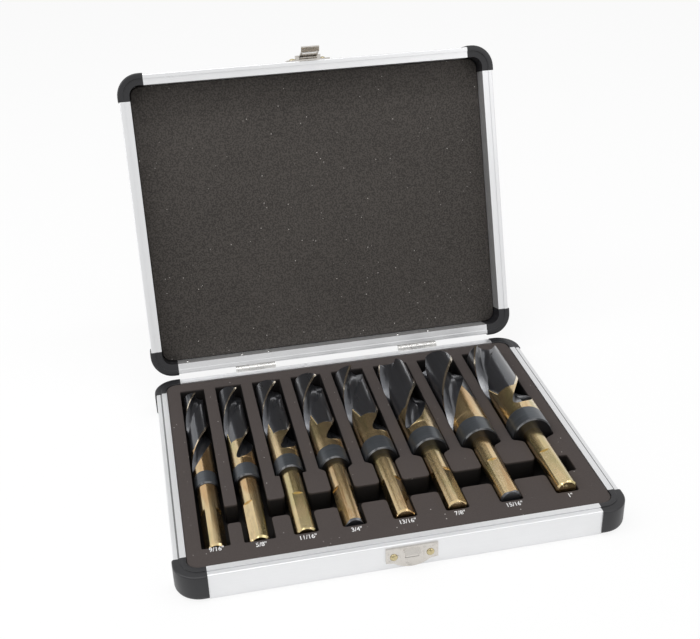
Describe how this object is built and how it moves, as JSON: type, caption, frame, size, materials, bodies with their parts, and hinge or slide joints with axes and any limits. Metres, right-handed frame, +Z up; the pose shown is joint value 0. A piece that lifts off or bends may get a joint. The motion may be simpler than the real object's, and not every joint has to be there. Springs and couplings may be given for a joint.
{
  "type": "drill bit case",
  "caption": "Shallow hinged carrying case with metal edge rails, moulded corners, a cut foam insert and reduced-shank twist drills lying in it.",
  "frame": {"origin": "centre of the base's underside", "axes": "+X along the front edge to the right, +Y from the latch side to the hinges, +Z up"},
  "size_m": [0.262, 0.297, 0.2256],
  "materials": {
    "aluminium_rail": "satin, extruded",
    "corner_plastic": "fine grained black moulding",
    "panel_board": "black laminate on board",
    "foam": "fine-celled black foam",
    "nickel_plate": "nickel plated, satin",
    "hinge_steel": "zinc plated",
    "coated_tool_steel": "gold and blue-black oxide coating"
  },
  "bodies": {
    "base": {"base_panel": "panel_board", "base_front_rail": "aluminium_rail", "base_back_rail": "aluminium_rail", "base_left_rail": "aluminium_rail", "base_right_rail": "aluminium_rail", "base_corners": "corner_plastic", "foam_insert": "foam", "strike_plate": "nickel_plate", "hinge_base_leaves": "hinge_steel", "hinge_pins": "hinge_steel"},
    "lid": {"lid_panel": "panel_board", "lid_front_rail": "aluminium_rail", "lid_back_rail": "aluminium_rail", "lid_left_rail": "aluminium_rail", "lid_right_rail": "aluminium_rail", "lid_corners": "corner_plastic", "lid_foam": "foam", "latch_plate": "nickel_plate", "hinge_lid_leaves": "hinge_steel", "hasp_pin": "hinge_steel"},
    "hasp": {"hasp": "nickel_plate"},
    "drill_9_16": {"drill_9_16": "coated_tool_steel"},
    "drill_5_8": {"drill_5_8": "coated_tool_steel"},
    "drill_11_16": {"drill_11_16": "coated_tool_steel"},
    "drill_3_4": {"drill_3_4": "coated_tool_steel"},
    "drill_13_16": {"drill_13_16": "coated_tool_steel"},
    "drill_7_8": {"drill_7_8": "coated_tool_steel"},
    "drill_15_16": {"drill_15_16": "coated_tool_steel"},
    "drill_1_inch": {"drill_1_inch": "coated_tool_steel"}
  },
  "joints": [
    {"name": "lid_hinge", "type": "hinge", "parent": "base", "child": "lid", "pos_m": [0, 0.1052, 0.01675], "axis": [-1, 0, 0], "range_deg": [-108.6, 0]},
    {"name": "hasp_pivot", "type": "hinge", "parent": "lid", "child": "hasp", "pos_m": [0, 0.17637, 0.2149], "axis": [-1, 0, 0], "range_deg": [-13, 102]},
    {"name": "drill_9_16_lift", "type": "slide", "parent": "base", "child": "drill_9_16", "axis": [0, 0, 1], "range_m": [0, 0.045]},
    {"name": "drill_5_8_lift", "type": "slide", "parent": "base", "child": "drill_5_8", "axis": [0, 0, 1], "range_m": [0, 0.045]},
    {"name": "drill_11_16_lift", "type": "slide", "parent": "base", "child": "drill_11_16", "axis": [0, 0, 1], "range_m": [0, 0.045]},
    {"name": "drill_3_4_lift", "type": "slide", "parent": "base", "child": "drill_3_4", "axis": [0, 0, 1], "range_m": [0, 0.045]},
    {"name": "drill_13_16_lift", "type": "slide", "parent": "base", "child": "drill_13_16", "axis": [0, 0, 1], "range_m": [0, 0.045]},
    {"name": "drill_7_8_lift", "type": "slide", "parent": "base", "child": "drill_7_8", "axis": [0, 0, 1], "range_m": [0, 0.045]},
    {"name": "drill_15_16_lift", "type": "slide", "parent": "base", "child": "drill_15_16", "axis": [0, 0, 1], "range_m": [0, 0.045]},
    {"name": "drill_1_inch_lift", "type": "slide", "parent": "base", "child": "drill_1_inch", "axis": [0, 0, 1], "range_m": [0, 0.045]}
  ]
}
